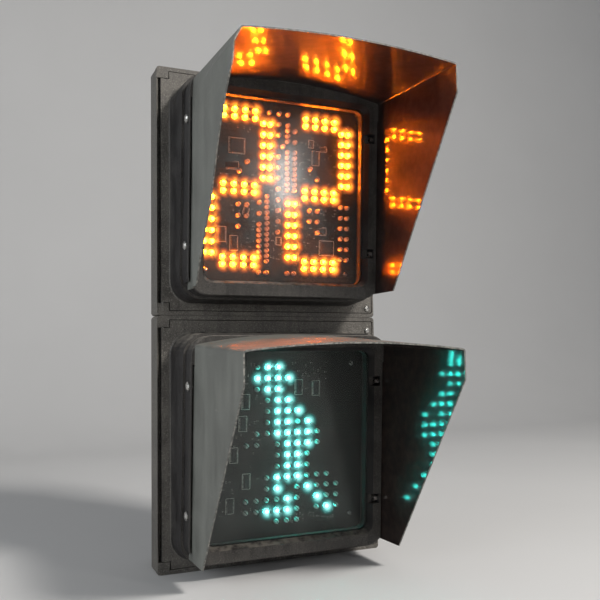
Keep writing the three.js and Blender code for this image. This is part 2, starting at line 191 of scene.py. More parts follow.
def weathered_plastic(name, smooth_shaded_walls=False):
    f = Finish(name)
    grain = f.noise(1.5 * MM, 3)
    speckle = f.fade(f.noise(1.1 * MM, 2), 0.54, 0.70)
    pits = f.fade(f.noise(1.6 * MM, 2), 0.42, 0.30)
    blotches = f.noise(34 * MM, 4)
    streaks = f.noise(9 * MM, 3, along=(1, 1, 7))
    ledge = f.upward() * f.fade(f.noise(11 * MM, 4), 0.28, 0.62)
    film = f.fade(blotches * 0.6 + streaks * 0.4, 0.36, 0.66)
    grain_and_unshaded = 1.0
    if smooth_shaded_walls:
        # painted shade: walls that turn aside, and the bezel well in front of the plate, lose grain and take
        # the dark colour below, which stands for the hood's shade
        faces_front = f.fade(f.forward(), 0.55, 0.92, 0.12, 1.0)
        unshaded_on_plate = f.fade(f.axis(f.place, "Y"), WELL_IN_FRONT, NEAR_PLATE, 0.35, 1.0)
        grain_and_unshaded = faces_front * unshaded_on_plate
    grained = f.mix(film, (0.080, 0.074, 0.067), (0.155, 0.144, 0.129))
    grained = f.mix(pits * 0.7, grained, (0.020, 0.018, 0.017))
    # the smooth walls' dark colour is painted shade, laid over the plastic's own tone
    colour = f.mix(grain_and_unshaded, f.mix(film, (0.014, 0.013, 0.014), (0.034, 0.032, 0.032)), grained)
    colour = f.mix(speckle * 0.75 * grain_and_unshaded, colour, (0.36, 0.34, 0.30))
    colour = f.mix(ledge * 0.75, colour, (0.24, 0.22, 0.19))
    rough = f.fade(film + ledge, 0.0, 1.2, 0.44, 0.78)
    normal = f.bump(grain * grain_and_unshaded + f.noise(14 * MM, 2) * 0.25, 0.35 * MM, 0.8)
    return f.done(f.coat(colour, Roughness=rough, Normal=normal, Specular_IOR_Level=0.28))


def moulded_black(name, shade, rough):
    f = Finish(name)
    wear = f.fade(f.noise(8 * MM, 4), 0.35, 0.7)
    colour = f.mix(wear, tuple(0.7 * c for c in shade), tuple(1.5 * c for c in shade))
    dusty = f.mix(f.upward() * 0.6, colour, (0.16, 0.15, 0.135))
    normal = f.bump(f.noise(0.8 * MM, 2), 0.12 * MM, 0.6)
    return f.done(f.coat(dusty, Roughness=f.fade(wear, 0, 1, rough, rough + 0.14), Normal=normal))


housing_plastic = weathered_plastic("housing_plastic")
door_plastic = weathered_plastic("door_plastic", smooth_shaded_walls=True)
retainer_plastic = moulded_black("retainer_plastic", (0.012, 0.012, 0.011), 0.42)
seal_rubber = moulded_black("seal_rubber", (0.010, 0.010, 0.010), 0.74)
cable_sheath = moulded_black("cable_sheath", (0.020, 0.020, 0.021), 0.48)
terminal_plastic = moulded_black("terminal_plastic", (0.46, 0.44, 0.36), 0.40)
print("plastic finishes mixed")

# %% [markdown]
# ## Metals
# The screws and nuts are plain steel. They were turned on a lathe, so fine rings catch the light, and
# rain leaves brown spots on them. The coupler is zinc with a dull grey bloom, and the finned case of the
# power supply is bare aluminium with brushing along the fins.

# %% Metal finishes
def spotted_metal(name, bright, dull, rough, rust=0.0, along=None):
    f = Finish(name)
    bloom = f.fade(f.noise(3.2 * MM, 4), 0.36, 0.68)
    brushing = f.noise(0.5 * MM, 2, along=along or (1, 1, 1))
    spots = f.fade(f.noise(1.6 * MM, 3), 0.62, 0.74) * rust
    colour = f.mix(spots, f.mix(bloom, bright, dull), (0.13, 0.052, 0.018))
    roughness = f.fade(bloom * 0.7 + brushing * 0.3 + spots, 0.1, 1.1, rough, rough + 0.32)
    return f.done(f.coat(colour, Metallic=1 - spots, Roughness=roughness,
                         Normal=f.bump(brushing, 0.05 * MM, 0.5)))


screw_steel = spotted_metal("screw_steel", (0.66, 0.65, 0.62), (0.38, 0.37, 0.35), 0.20, rust=0.55)
coupler_zinc = spotted_metal("coupler_zinc", (0.52, 0.53, 0.54), (0.30, 0.31, 0.32), 0.42, rust=0.12)
fin_aluminium = spotted_metal("fin_aluminium", (0.72, 0.72, 0.71), (0.52, 0.52, 0.51), 0.28, along=(1, 1, 14))
print("metal finishes mixed")

# %% [markdown]
# ## Visor sheet
# The visor is one thin sheet. Outside it is a matt grey film of road dust with wiped streaks, and inside
# it is bare and dark, and glossy enough to mirror the lamps. Two layers make that: a clear coat gives the
# mirror image, and the duller layer below it spreads the same light into a wide glow. The sawn edge is a
# third finish, chipped and painted pale as a highlight, which draws a thin light line.

# %% Visor finishes
def visor_outside():
    f = Finish("visor_dust")
    clouds = f.noise(60 * MM, 4)
    runs = f.noise(16 * MM, 4, along=(1, 1, 9))
    specks = f.fade(f.noise(1.1 * MM, 2), 0.60, 0.74)
    scuffs = f.fade(f.noise(5 * MM, 5, along=(1, 6, 1)), 0.62, 0.74)
    film = f.fade(clouds * 0.5 + runs * 0.5, 0.34, 0.66)
    colour = f.mix(film, (0.115, 0.120, 0.108), (0.190, 0.196, 0.178))
    colour = f.mix(specks * 0.30 + scuffs * 0.22, colour, (0.33, 0.32, 0.29))
    colour = f.mix(f.upward() * 0.30, colour, (0.22, 0.205, 0.18))
    normal = f.bump(f.noise(1.3 * MM, 3) + clouds * 2, 0.14 * MM, 0.6)
    return f.done(f.coat(colour, Roughness=f.fade(film, 0, 1, 0.42, 0.66), Normal=normal))


def visor_inside():
    f = Finish("visor_gloss")
    smear = f.fade(f.noise(45 * MM, 5), 0.35, 0.7)
    dust = f.fade(f.noise(0.8 * MM, 2), 0.66, 0.78)
    mottle = f.fade(f.noise(13 * MM, 4), 0.30, 0.75)
    colour = f.mix(mottle, (0.010, 0.008, 0.008), (0.036, 0.024, 0.021))
    colour = f.mix(dust * 0.22 + smear * 0.06, colour, (0.16, 0.15, 0.135))
    rough = f.fade(smear + dust * 0.4, 0.0, 1.4, 0.34, 0.48)
    gloss = f.fade(smear + mottle * 0.6, 0.0, 1.6, 1.0, 0.50)
    normal = f.bump(f.noise(60 * MM, 1), 0.02 * MM, 0.3)
    return f.done(f.coat(colour, Roughness=rough, Normal=normal, Specular_IOR_Level=0.24,
                         Specular_Tint=(1.0, 0.42, 0.36, 1), Coat_Weight=gloss, Coat_Roughness=0.06,
                         Coat_Normal=normal))


def visor_cut_edge_highlight():
    f = Finish("visor_edge_highlight")
    chips = f.fade(f.noise(4 * MM, 3), 0.40, 0.62)
    # painted highlight: the pale colour stands for light caught on the sawn edge, mixed in by the chips
    colour = f.mix(chips, (0.10, 0.10, 0.093), (0.26, 0.255, 0.23))
    return f.done(f.coat(colour, Roughness=0.55, Normal=f.bump(chips, 0.1 * MM)))


visor_finishes = [visor_outside(), visor_inside(), visor_cut_edge_highlight()]
print("visor finishes mixed")

# %% [markdown]
# ## Clear lens
# The lens is a flat clear cover. Real covers aren't invisible: a thin haze of dust takes the light from
# outside, and the surface mirrors a little of it. A clear shader is mixed with a glossy, faintly grey
# one, and the share of the second is the haze plus the Fresnel reflection. No light is bent, so the lamps
# behind stay sharp and the board behind stays lit.

# %% Lens finish
def clear_lens():
    f = Finish("clear_lens")
    haze = f.fade(f.noise(38 * MM, 4), 0.30, 0.75, 0.055, 0.11)
    specks = f.fade(f.noise(1.2 * MM, 3), 0.68, 0.80) * 0.10
    mirror = f.add("ShaderNodeFresnel", None, {"IOR": 1.46})
    film = f.coat((0.30, 0.31, 0.30), Roughness=0.13, Specular_IOR_Level=1.0)
    clear = f.add("ShaderNodeBsdfTransparent", None, {"Color": (0.93, 0.95, 0.94, 1)})
    share = haze + specks + mirror * 0.9
    return f.done(f.add("ShaderNodeMixShader", None, {0: share, 1: clear, 2: film}))


lens_cover = clear_lens()

# %% [markdown]
# ## Circuit board finishes
# The board is lacquered almost black. Copper tracks under the lacquer show as faint raised lines, which a
# brick pattern gives. The white print, the chips, their tinned legs and the lamps are separate finishes,
# because each is its own material on the real board.

# %% Board finishes
def board_lacquer():
    f = Finish("board_lacquer")
    turned = f.add("ShaderNodeMapping", {"vector_type": "POINT"},
                   {"Vector": f.place, "Rotation": (math.pi / 2, 0, 0)})
    tracks = f.add("ShaderNodeTexBrick", None,
                   {"Vector": turned, "Scale": 1 / (26 * MM), "Mortar Size": 0.035, "Color1": (0, 0, 0, 1),
                    "Color2": (0, 0, 0, 1), "Mortar": (1, 1, 1, 1)}, output="Fac")
    patch = f.fade(f.noise(24 * MM, 3), 0.42, 0.6)
    pads = f.fade(f.cells(9.5 * MM), 0.10, 0.06)
    colour = f.mix(tracks * patch * 0.8, (0.0085, 0.0095, 0.0085), (0.030, 0.032, 0.026))
    colour = f.mix(pads * 0.35, colour, (0.20, 0.19, 0.16))
    normal = f.bump(tracks * patch + f.noise(3 * MM) * 0.3, 0.06 * MM, 0.6)
    return f.done(f.coat(colour, Roughness=f.fade(patch, 0, 1, 0.28, 0.42), Normal=normal))


def plain_part(name, colour, rough, metal=0.0):
    f = Finish(name)
    shade = f.fade(f.noise(2.5 * MM, 3), 0.3, 0.7)
    mixed = f.mix(shade, tuple(0.75 * c for c in colour), tuple(min(1, 1.2 * c) for c in colour))
    return f.done(f.coat(mixed, Roughness=f.fade(shade, 0, 1, rough, rough + 0.15), Metallic=metal,
                         Normal=f.bump(shade, 0.04 * MM, 0.4)))


lacquer = board_lacquer()
chip_epoxy = plain_part("chip_epoxy", (0.022, 0.022, 0.023), 0.30)
leg_tin = plain_part("leg_tin", (0.60, 0.59, 0.56), 0.25, metal=1.0)
white_print = plain_part("white_print", (0.80, 0.78, 0.72), 0.60)
resistor_glaze = plain_part("resistor_glaze", (0.035, 0.032, 0.030), 0.30)

# %% [markdown]
# ## Lamp finishes
# A lit lamp is a small dome of clear resin over a bright chip. Nearly all its light leaves through the
# dome, so the glow goes from strong, where the resin faces the front, to weak on the barrel's side. A
# dark lamp is the same glossy resin, painted pale as a highlight of outside light. The metal frame inside
# it shows as a dark slanting band, painted on.
# Dusty resin and a dusty lens scatter some light round each lit lamp, and a faint disc stands for that. It
# goes from a pale inner colour to a deep outer one, and is gone at its rim.

# %% Lamp finishes
def lit_resin(name, core, rim, power):
    f = Finish(name)
    glow = f.mix(f.fade(f.forward(), 0.35, 0.85), rim, core)
    return f.done(f.coat(rim, Roughness=0.25, Emission_Color=glow, Emission_Strength=power))


def dark_resin(name, highlight_colour, frame_colour):
    f = Finish(name)
    facing = f.add("ShaderNodeTexCoord", output="Normal")
    slant = f.axis(facing, "X") * 0.75 + f.axis(facing, "Z") * 0.65
    # painted highlight: away from a slanting band the resin is painted pale, and the band is the frame seen
    # through the dome, painted dark
    frame_band = f.fade(slant * slant, 0.0, 0.07, 1.0, 0.0)
    colour = f.mix(frame_band, highlight_colour, frame_colour)
    return f.done(f.coat(colour, Roughness=0.18, Coat_Weight=0.4, Specular_IOR_Level=0.7))


def lamp_halo(name, inner, outer, power, reach):
    """Light scattered round a lit lamp in dusty resin and lens: strongest in the middle, gone at the rim."""
    f = Finish(name)
    middle = f.add("ShaderNodeVectorMath", {"operation": "DISTANCE"},
                   {0: f.add("ShaderNodeTexCoord", output="UV"), 1: (0.5, 0.5, 0)}, output="Value")
    strength = f.fade(middle, 0.0, 0.5, 1.0, 0.0) ** 1.5 * reach
    glow = f.mix(f.fade(middle, 0.10, 0.36), inner, outer)
    return f.done(f.coat((0, 0, 0), Roughness=1.0, Specular_IOR_Level=0.0, Alpha=strength,
                         Emission_Color=glow, Emission_Strength=power))


amber_lit = lit_resin("amber_lit", (1.0, 0.135, 0.0022), (0.035, 0.005, 0.0), 520.0)
green_lit = lit_resin("green_lit", (0.035, 1.0, 0.86), (0.001, 0.05, 0.04), 75.0)
# each dark lamp's first colour is its painted highlight, the second the frame inside it
amber_dark = dark_resin("amber_dark", (0.80, 0.86, 0.92), (0.30, 0.22, 0.20))
green_dark = dark_resin("green_dark", (0.95, 1.0, 0.97), (0.20, 0.26, 0.24))
amber_halo = lamp_halo("amber_halo", (1.0, 0.42, 0.04), (1.0, 0.145, 0.012), 4.6, 0.80)
green_halo = lamp_halo("green_halo", (0.38, 1.0, 0.96), (0.04, 0.50, 0.46), 2.8, 0.70)
print("lamp finishes mixed")

# %% [markdown]
# ## Hands for modelling
# The next helpers do what a hand does in the window: clear the selection, go into edit mode, pick the
# parts of a mesh by where they are, and name what was made.

# %% Modelling helpers
def clear_selection():
    if bpy.context.object and bpy.context.object.mode == "EDIT":
        bpy.ops.object.mode_set(mode="OBJECT")
    bpy.ops.object.select_all(action="DESELECT")


def pick(kind, test):
    """In edit mode, selects only the corners, edges or faces whose middle passes the test."""
    mesh = bmesh.from_edit_mesh(bpy.context.object.data)
    bpy.ops.mesh.select_mode(type={"verts": "VERT", "edges": "EDGE", "faces": "FACE"}[kind])
    bpy.ops.mesh.select_all(action="DESELECT")
    for part in getattr(mesh, kind):
        if kind == "verts":
            place = part.co
        elif kind == "edges":
            place = (part.verts[0].co + part.verts[1].co) / 2
        else:
            place = part.calc_center_median()
        part.select = bool(test(place, part))
    mesh.select_flush_mode()
    bmesh.update_edit_mesh(bpy.context.object.data)


def shift(x=0.0, y=0.0, z=0.0, **more):
    bpy.ops.transform.translate(value=(x, y, z), **more)


def resize(x, y, z, middle):
    bpy.ops.transform.resize(value=(x, y, z), center_override=middle)


def cut(point, normal, clear=None):
    """Cuts the whole mesh by a plane, and removes the side the normal points to, or the other one."""
    bpy.ops.mesh.select_all(action="SELECT")
    bpy.ops.mesh.bisect(plane_co=point, plane_no=normal, clear_outer=clear == "front",
                        clear_inner=clear == "back")


def finish_piece(piece, name, finishes, body, smooth=35):
    """Names a piece, gives it its finishes, puts its place into its mesh and lets it ride on its body."""
    clear_selection()
    piece.select_set(True)
    bpy.context.view_layer.objects.active = piece
    bpy.ops.object.transform_apply(location=True, rotation=True, scale=True)
    if smooth:
        bpy.ops.object.shade_smooth_by_angle(angle=math.radians(smooth))
    piece.name = piece.data.name = name
    if finishes:
        piece.data.materials.clear()
        for finish in finishes:
            piece.data.materials.append(finish)
    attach(piece, body)
    print(name, len(piece.data.polygons), "faces")
    return piece


def dress(finish, *names):
    for name in names:
        nodes[name].data.materials.clear()
        nodes[name].data.materials.append(finish)

# %% [markdown]
# ## Dress the ready-made pieces
# Every piece of the frame gets the finish of its material. The door takes the finish that turns smooth
# on the bezel and paints the hood's shade there.

# %% Finishes on the frame's pieces
SPOTS = ("left_bottom", "left_top", "right_bottom", "right_top")
for section in SECTIONS:
    dress(housing_plastic, f"{section}_housing")
    dress(door_plastic, f"{section}_door")
    dress(seal_rubber, f"{section}_door_gasket", f"{section}_lens_gasket")
    dress(lens_cover, f"{section}_lens")
    dress(retainer_plastic, f"{section}_lens_retainer", f"{section}_led_tray")
    dress(lacquer, f"{section}_led_board")
    dress(fin_aluminium, f"{section}_power_supply")
    dress(screw_steel, f"{section}_hinge_pin_bottom", f"{section}_hinge_pin_top",
          f"{section}_door_screw_bottom", f"{section}_door_screw_top",
          *(f"{section}_{kind}_{spot}" for kind in ("visor_screw", "visor_nut", "board_screw")
            for spot in SPOTS))
dress(terminal_plastic, "terminal_block")
dress(coupler_zinc, "coupler", "coupler_nut")
dress(seal_rubber, "coupler_seal", "top_cap_seal")
dress(housing_plastic, "top_cap", "top_cap_nut")
dress(cable_sheath, "feed_cable")

# %% [markdown]
# ## The visors
# A visor is one sheet folded into three sides: a shallow arch on top and two flat cheeks. It starts as a
# flat grid. The middle of the grid is pulled up with proportional editing, whose inverse-square falloff
# is a parabola. The long edges are spun round to make the folded shoulders and pulled down into cheeks.
# Then the grid's rows are scaled one by one, because the arch flattens towards the front. Planes cut the
# slanted sides and the tongues that slide into the bezel, and last the sheet gets its thickness. `VISOR`
# counts depths forwards from the housing's rim and heights upwards from its foot. The upper visor has been
# knocked, so its left cheek is pulled outwards round two spots before it is cut.

# %% Visor sheets
SHEET = 2 * MM
LEAN = 0.065
LEAN_MIDDLE = 181 * MM
VISOR = {"half": 145.6 * MM, "fold": 6 * MM, "rear_top": 334 * MM, "rear_sag": 15 * MM, "front_drop": 18 * MM,
         "flatten": 0.40, "widen": 0.0096, "rear": 30 * MM, "groove": 60 * MM, "ring": 76.6 * MM,
         "low": 114 * MM, "front": 277.8 * MM, "kink": 269 * MM, "bottom": 31.5 * MM, "seat": 289 * MM}
COLUMNS, ROWS = 28, 16
SHOULDER_STEPS = 5
CHEEK_STEPS, CHEEK_STEP = 22, 26 * MM
TOUCHING = 0.01 * MM
LEFT_CHEEK = {"inner": -140 * MM, "top": 300 * MM, "rear": 84 * MM}
KNOCKS = ((246, 215, 11, 235), (128, 45, 7, 130))


def folded_sheet(base, rim):
    """A grid with its middle pulled up into an arch and its long edges folded down into cheeks."""
    v = VISOR
    rear, front = rim - v["rear"], rim - v["front"]
    flat_half = v["half"] - v["fold"]
    crown = base + v["rear_top"]
    rise = v["rear_sag"] * (flat_half / v["half"]) ** 2
    clear_selection()
    bpy.ops.mesh.primitive_grid_add(x_subdivisions=COLUMNS, y_subdivisions=ROWS, size=1)
    sheet = bpy.context.object
    bpy.ops.object.mode_set(mode="EDIT")
    bpy.ops.transform.resize(value=(2 * flat_half, rear - front, 1))
    shift(y=(rear + front) / 2, z=crown - rise)
    pick("verts", lambda p, _: abs(p.x) < TOUCHING)
    shift(z=rise, use_proportional_edit=True, proportional_edit_falloff="INVERSE_SQUARE",
          proportional_size=flat_half)
    slope = math.atan(2 * rise / flat_half)
    for side in (-1, 1):
        edge_x = side * flat_half
        pick("edges", lambda p, e: all(abs(c.co.x - edge_x) < TOUCHING for c in e.verts))
        centre = (edge_x - side * v["fold"] * math.sin(slope), 0,
                  crown - rise - v["fold"] * math.cos(slope))
        bpy.ops.mesh.spin(steps=SHOULDER_STEPS, angle=side * (slope - math.pi / 2), center=centre,
                          axis=(0, 1, 0))
        for _ in range(CHEEK_STEPS):
            bpy.ops.mesh.extrude_edges_move(TRANSFORM_OT_translate={"value": (0, 0, -CHEEK_STEP)})
    for row in range(ROWS + 1):
        y = front + (rear - front) * row / ROWS
        share = (rim - y - v["groove"]) / (v["front"] - v["groove"])
        pick("verts", lambda p, _: abs(p.y - y) < TOUCHING)
        resize(1 + v["widen"] * share, 1, 1 - v["flatten"] * share, (0, y, crown))
        shift(z=-v["front_drop"] * share)
    return sheet


def pull_cheek(sheet, base, rim, knock):
    """Pulls the left cheek outwards round one spot: its depth, its height, how far and how wide, in mm."""
    depth, height, pull, reach = (measure * MM for measure in knock)
    pick("verts", lambda p, _: (p.x < LEFT_CHEEK["inner"] and p.z < base + LEFT_CHEEK["top"]
                                and p.y < rim - LEFT_CHEEK["rear"]))
    bpy.ops.mesh.hide(unselected=True)
    target = Vector((-VISOR["half"], rim - depth, base + height))
    mesh = bmesh.from_edit_mesh(sheet.data)
    nearest = min((c for c in mesh.verts if not c.hide), key=lambda c: (c.co - target).length)
    spot = nearest.co.copy()
    pick("verts", lambda p, _: (p - spot).length < TOUCHING)
    shift(x=-pull, use_proportional_edit=True, proportional_edit_falloff="SMOOTH",
          proportional_size=reach)
    bpy.ops.mesh.reveal(select=False)


def cut_outline(base, rim):
    """Cuts the leaning rear edge with its tongues, the level foot and the slanted front of the cheeks."""
    v = VISOR
    leaned = Vector((0, 1, LEAN)).normalized()
    groove, ring = (Vector((0, rim - v[name], base + LEAN_MIDDLE)) for name in ("groove", "ring"))
    cut(groove, leaned, clear="front")
    cut(ring, leaned)
    cut((0, 0, base + v["seat"]), (0, 0, 1))
    pick("faces", lambda p, _: p.z > base + v["seat"] and (p - ring).dot(leaned) > 0)
    bpy.ops.mesh.delete(type="FACE")
    cut((0, 0, base + v["bottom"]), (0, 0, -1), clear="front")
    down, out = v["kink"] - v["bottom"], v["front"] - v["low"]
    cut((0, rim - v["low"], base + v["bottom"]), Vector((0, -down, -out)).normalized(), clear="front")


def thicken(sheet):
    """Turns the faces outwards and gives the sheet its wall, with a finish for each side and the edge."""
    bpy.ops.mesh.select_all(action="SELECT")
    bpy.ops.mesh.remove_doubles(threshold=TOUCHING)
    bpy.ops.mesh.normals_make_consistent(inside=False)
    mesh = bmesh.from_edit_mesh(sheet.data)
    top = max(mesh.faces, key=lambda face: face.calc_center_median().z)
    if top.normal.z < 0:
        bpy.ops.mesh.flip_normals()
    bpy.ops.object.mode_set(mode="OBJECT")
    for finish in visor_finishes:
        sheet.data.materials.append(finish)
    wall = sheet.modifiers.new("wall", "SOLIDIFY")
    wall.thickness = SHEET
    wall.offset = -1
    wall.material_offset = 1
    wall.material_offset_rim = 2
    bpy.ops.object.modifier_apply(modifier=wall.name)


def visor_sheet(section, knocks=()):
    """Models one section's visor, which takes the place of the ready-made one."""
    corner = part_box(f"{section}_housing")[0]
    base, rim = corner.z, corner.y
    sheet = folded_sheet(base, rim)
    for knock in knocks:
        pull_cheek(sheet, base, rim, knock)
    cut_outline(base, rim)
    thicken(sheet)
    finish_piece(sheet, f"{section}_visor_sheet", None, f"{section}_door_assembly", smooth=40)
    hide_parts(f"{section}_visor")
    low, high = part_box(f"{section}_visor")
    spans = [[c.co[i] for c in sheet.data.vertices] for i in range(3)]
    print("sheet", [(round(min(s), 4), round(max(s), 4)) for s in spans], "node", low, high)


visor_sheet("lower")
visor_sheet("upper", KNOCKS)

# %% [markdown]
# ## One lamp
# A lamp is a flange, a short barrel and a dome, all one resin moulding. An eight-sided cylinder is the
# start. Its front face is inset, pulled forward and shrunk in steps, which rounds the dome off with a few
# dozen faces. That is all it can have, because there are hundreds of lamps. The glow round it is a flat
# disc whose texture coordinates tell the finish how far out a point lies.

# %% Lamp and halo, each modelled once
LAMP = {"sides": 8, "flange": 3.9 * MM, "flange_depth": 1.2 * MM, "barrel": 3.6 * MM, "height": 7 * MM}
DOME_STEPS = ((3.2, 1.0), (1.4, 0.86), (0.8, 0.62), (0.4, 0.42))
HALO = {"sides": 16, "radius": 15 * MM}


def leaned_model(model, turn=0.0):
    """Turns a model about X, and then leans it back as the boards do."""
    clear_selection()
    model.select_set(True)
    bpy.context.view_layer.objects.active = model
    model.rotation_euler = (turn + math.atan(LEAN), 0, 0)
    bpy.ops.object.transform_apply(location=True, rotation=True, scale=True)
    return model


def first_lamp():
    """A lamp that stands on the origin and points forward, along -Y, leaning as the boards do."""
    clear_selection()
    bpy.ops.mesh.primitive_cylinder_add(vertices=LAMP["sides"], radius=LAMP["flange"],
                                        depth=LAMP["flange_depth"], location=(0, 0, LAMP["flange_depth"] / 2))
    lamp = bpy.context.object
    bpy.ops.object.mode_set(mode="EDIT")
    pick("faces", lambda p, face: face.normal.z > 0.9)
    bpy.ops.mesh.inset(thickness=LAMP["flange"] - LAMP["barrel"])
    for rise, shrink in DOME_STEPS:
        bpy.ops.mesh.extrude_region_move(TRANSFORM_OT_translate={"value": (0, 0, rise * MM)})
        bpy.ops.transform.resize(value=(shrink, shrink, 1))
    pick("faces", lambda p, face: face.normal.z < -0.9)
    bpy.ops.mesh.delete(type="FACE")
    bpy.ops.object.mode_set(mode="OBJECT")
    leaned_model(lamp, math.pi / 2)
    bpy.ops.object.shade_smooth_by_angle(angle=math.radians(50))
    return lamp


def first_halo():
    """The disc of glow round a lit lamp, a fan of triangles that leans as the boards do."""
    clear_selection()
    bpy.ops.mesh.primitive_circle_add(vertices=HALO["sides"], radius=HALO["radius"], fill_type="TRIFAN",
                                      calc_uvs=True)
    return leaned_model(bpy.context.object, math.pi / 2)


lamp_model = first_lamp()
halo_model = first_halo()
print("lamp", len(lamp_model.data.polygons), "faces,",
      [round(d / MM, 1) for d in lamp_model.dimensions], "mm")

# %% [markdown]
# ## Where the lamps stand
# Both boards use one pitch. A digit is built from bars and uprights two lamps wide, and the seven strokes
# are the same for every number, so strokes that stay dark are there too. `DIGITS` holds each digit's middle
# and how far it is lifted. A dark standing figure fills the space between the digits, and takes the place
# of their dark inner uprights. `STANDING` lists its columns: x, the height of the top lamp, both in mm,
# and the lamps' steps down from there, half a pitch each. A few more dark lamps stand inside the digits.
# The walking figure on the lower board has two tables, lit and dark, with the columns of each row.

# %% Lamp layouts
PITCH = 15.9 * MM
HALF_PITCH = PITCH / 2
PAIR = 10.6 * MM
DIGITS = ((-64.4 * MM, 4.6 * MM), (64.1 * MM, 2.3 * MM))
BAR_LAMPS, UPRIGHT_LAMPS = 4, 6
BAR_SHIFT = 1.7 * MM
BARS = (105.9 * MM, -2.2 * MM, -107.9 * MM)
UPRIGHT_X = 38.5 * MM
UPRIGHT_TOPS = (94.4 * MM, -17.9 * MM)
FIGURE_HALF = 35 * MM
STANDING = ((-16.8, 116.5, (0,)), (-1.5, 116.5, (0, 2, 4, 8, 10, 12, 14, 16, 18, 20, 22)), (5.5, 68.8, (0,)),
            (12.8, 116.5, (0, 2, 3, 4, 5, 7, 8, 9, 10, 11, 12, 13, 14)),
            (24.5, 92.6, (0, 2, 4, 5, 6, 7, 8, 9, 10, 11)), (-30.8, -16.8, (0, 2, 4, 5, 6, 7, 8, 9, 10)),
            (-18.8, -6.8, range(13)), (-30.8, -119, (0,)), (-18.8, -119, (0,)), (14.2, -119, (0,)),
            (25, -119, (0,)))
INSIDE_DIGIT = ((14, 40), (2, 25), (14, -23), (1, -23), (14, -39), (1, -39), (1, -55))
INSIDE_DROP = 3 * MM
LAMP_ROOM = 7.5 * MM
WALKING_CORNER = (-55.3 * MM, 104.6 * MM)
DISPLAY_LIFT = 4 * MM


def digit_lamps(centre, lift):
    """Lit and dark places of one digit that shows a two."""
    lit = [(centre + BAR_SHIFT + (i - (BAR_LAMPS - 1) / 2) * PITCH, lift + height + row * PAIR / 2)
           for height in BARS for row in (-1, 1) for i in range(BAR_LAMPS)]
    dark = []
    for side in (-1, 1):
        for level, top in enumerate(UPRIGHT_TOPS):
            shows = (side > 0) == (level == 0)
            for column in range(2):
                x = centre + side * (UPRIGHT_X + column * PAIR)
                places = [(x, lift + top - row * PITCH) for row in range(UPRIGHT_LAMPS)]
                (lit if shows else dark).extend(places)
    return lit, [place for place in dark if abs(place[0]) > FIGURE_HALF]


def standing_lamps(taken):
    """The dark lamps of the standing figure and inside the digits, where no other lamp is near."""
    places = [(x * MM, top * MM - step * HALF_PITCH) for x, top, steps in STANDING for step in steps]
    for side, (centre, lift) in zip((-1, 1), DIGITS):
        places += [(centre - side * x * MM, z * MM + lift - INSIDE_DROP) for x, z in INSIDE_DIGIT]
    return [place for place in places if all(math.dist(place, other) > LAMP_ROOM for other in taken)]


WALKING_LIT = ((2, 3), (1, 2, 3, 4), (2, 3), (3, 4), (3, 4, 5), (3, 4, 6), (3, 4, 5, 6), (4, 5, 6), (4, 5),
               (4, 5), (3, 4, 5), (3, 6), (4, 7), (2, 3, 4, 8))
WALKING_DARK = ((1,), (), (1,), (2,), (2,), (2, 5), (1, 2, 7), (0, 1, 3, 7), (3, 6), (3, 6), (2, 6, 7, 8),
                (2, 5, 7, 8, 9), (0, 1, 2, 3, 5, 8, 9), (0, 1, 5, 7, 9), (3, 4, 5))


def walking_lamps(table):
    """The places of a walking figure's lamps: the first row is the top one, and column 0 is at the left."""
    left, top = WALKING_CORNER
    return [(left + column * PITCH, top - row * PITCH)
            for row, columns in enumerate(table) for column in columns]


def board_point(section, x, z, lift=0.0):
    """A point on the leaning front of a section's lamp board, x and z from the middle of its display."""
    low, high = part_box(f"{section}_led_board")
    height = (low.z + high.z) / 2 + DISPLAY_LIFT + z
    return Vector((x, low.y + LEAN * (high.z - height) - lift, height))

# %% [markdown]
# ## Fill the boards
# Each group of lamps is copied from the first one, every copy with its own mesh, and joined into one
# piece, so that a group keeps one finish and rides on its door.

# %% Lamps on both boards
def spread(model, name, section, places, finish=None, lift=0.0):
    """Joins copies of a model into one piece. A place is x, z and, if the part is turned, its turn."""
    copies = []
    for x, z, *turn in places:
        copy = model.copy()
        copy.data = model.data.copy()
        copy.rotation_euler = (0, turn[0] if turn else 0, 0)
        copy.location = board_point(section, x, z, lift)
        bpy.context.scene.collection.objects.link(copy)
        copies.append(copy)
    clear_selection()
    for copy in copies:
        copy.select_set(True)
    bpy.context.view_layer.objects.active = copies[0]
    bpy.ops.object.join()
    piece = finish_piece(bpy.context.object, name, [finish] if finish else None,
                         f"{section}_door_assembly", smooth=None)


HALO_LIFT = LAMP["height"] + 0.6 * MM
digit_dark = []
digit_all = []
for hand, (centre, lift) in zip(("left", "right"), DIGITS):
    lit, dark = digit_lamps(centre, lift)
    spread(lamp_model, f"upper_{hand}_digit_lit", "upper", lit, amber_lit)
    spread(halo_model, f"upper_{hand}_digit_halo", "upper", lit, amber_halo, HALO_LIFT)
    digit_dark += dark
    digit_all += lit + dark
spread(lamp_model, "upper_digits_dark", "upper", digit_dark, amber_dark)
figure_dark = standing_lamps(digit_all)
spread(lamp_model, "upper_figure_dark", "upper", figure_dark, amber_dark)
walking_lit, walking_dark = walking_lamps(WALKING_LIT), walking_lamps(WALKING_DARK)
spread(lamp_model, "lower_figure_lit", "lower", walking_lit, green_lit)
spread(halo_model, "lower_figure_halo", "lower", walking_lit, green_halo, HALO_LIFT)
spread(lamp_model, "lower_figure_dark", "lower", walking_dark, green_dark)

# %% [markdown]
# ## Chips and small parts
# A chip is a black block with a chamfered top edge and a row of bent tinned legs on two or all four of its
# sides. The block starts as a cube, its front edges are bevelled, and each leg is a thin block with its
# foot pulled out. White print draws a frame round it. One of each kind is modelled, then copied to its
# places. Small resistors are scattered over the free parts of the boards, away from the lamps and from
# each other, and the seed makes them fall the same way each time.

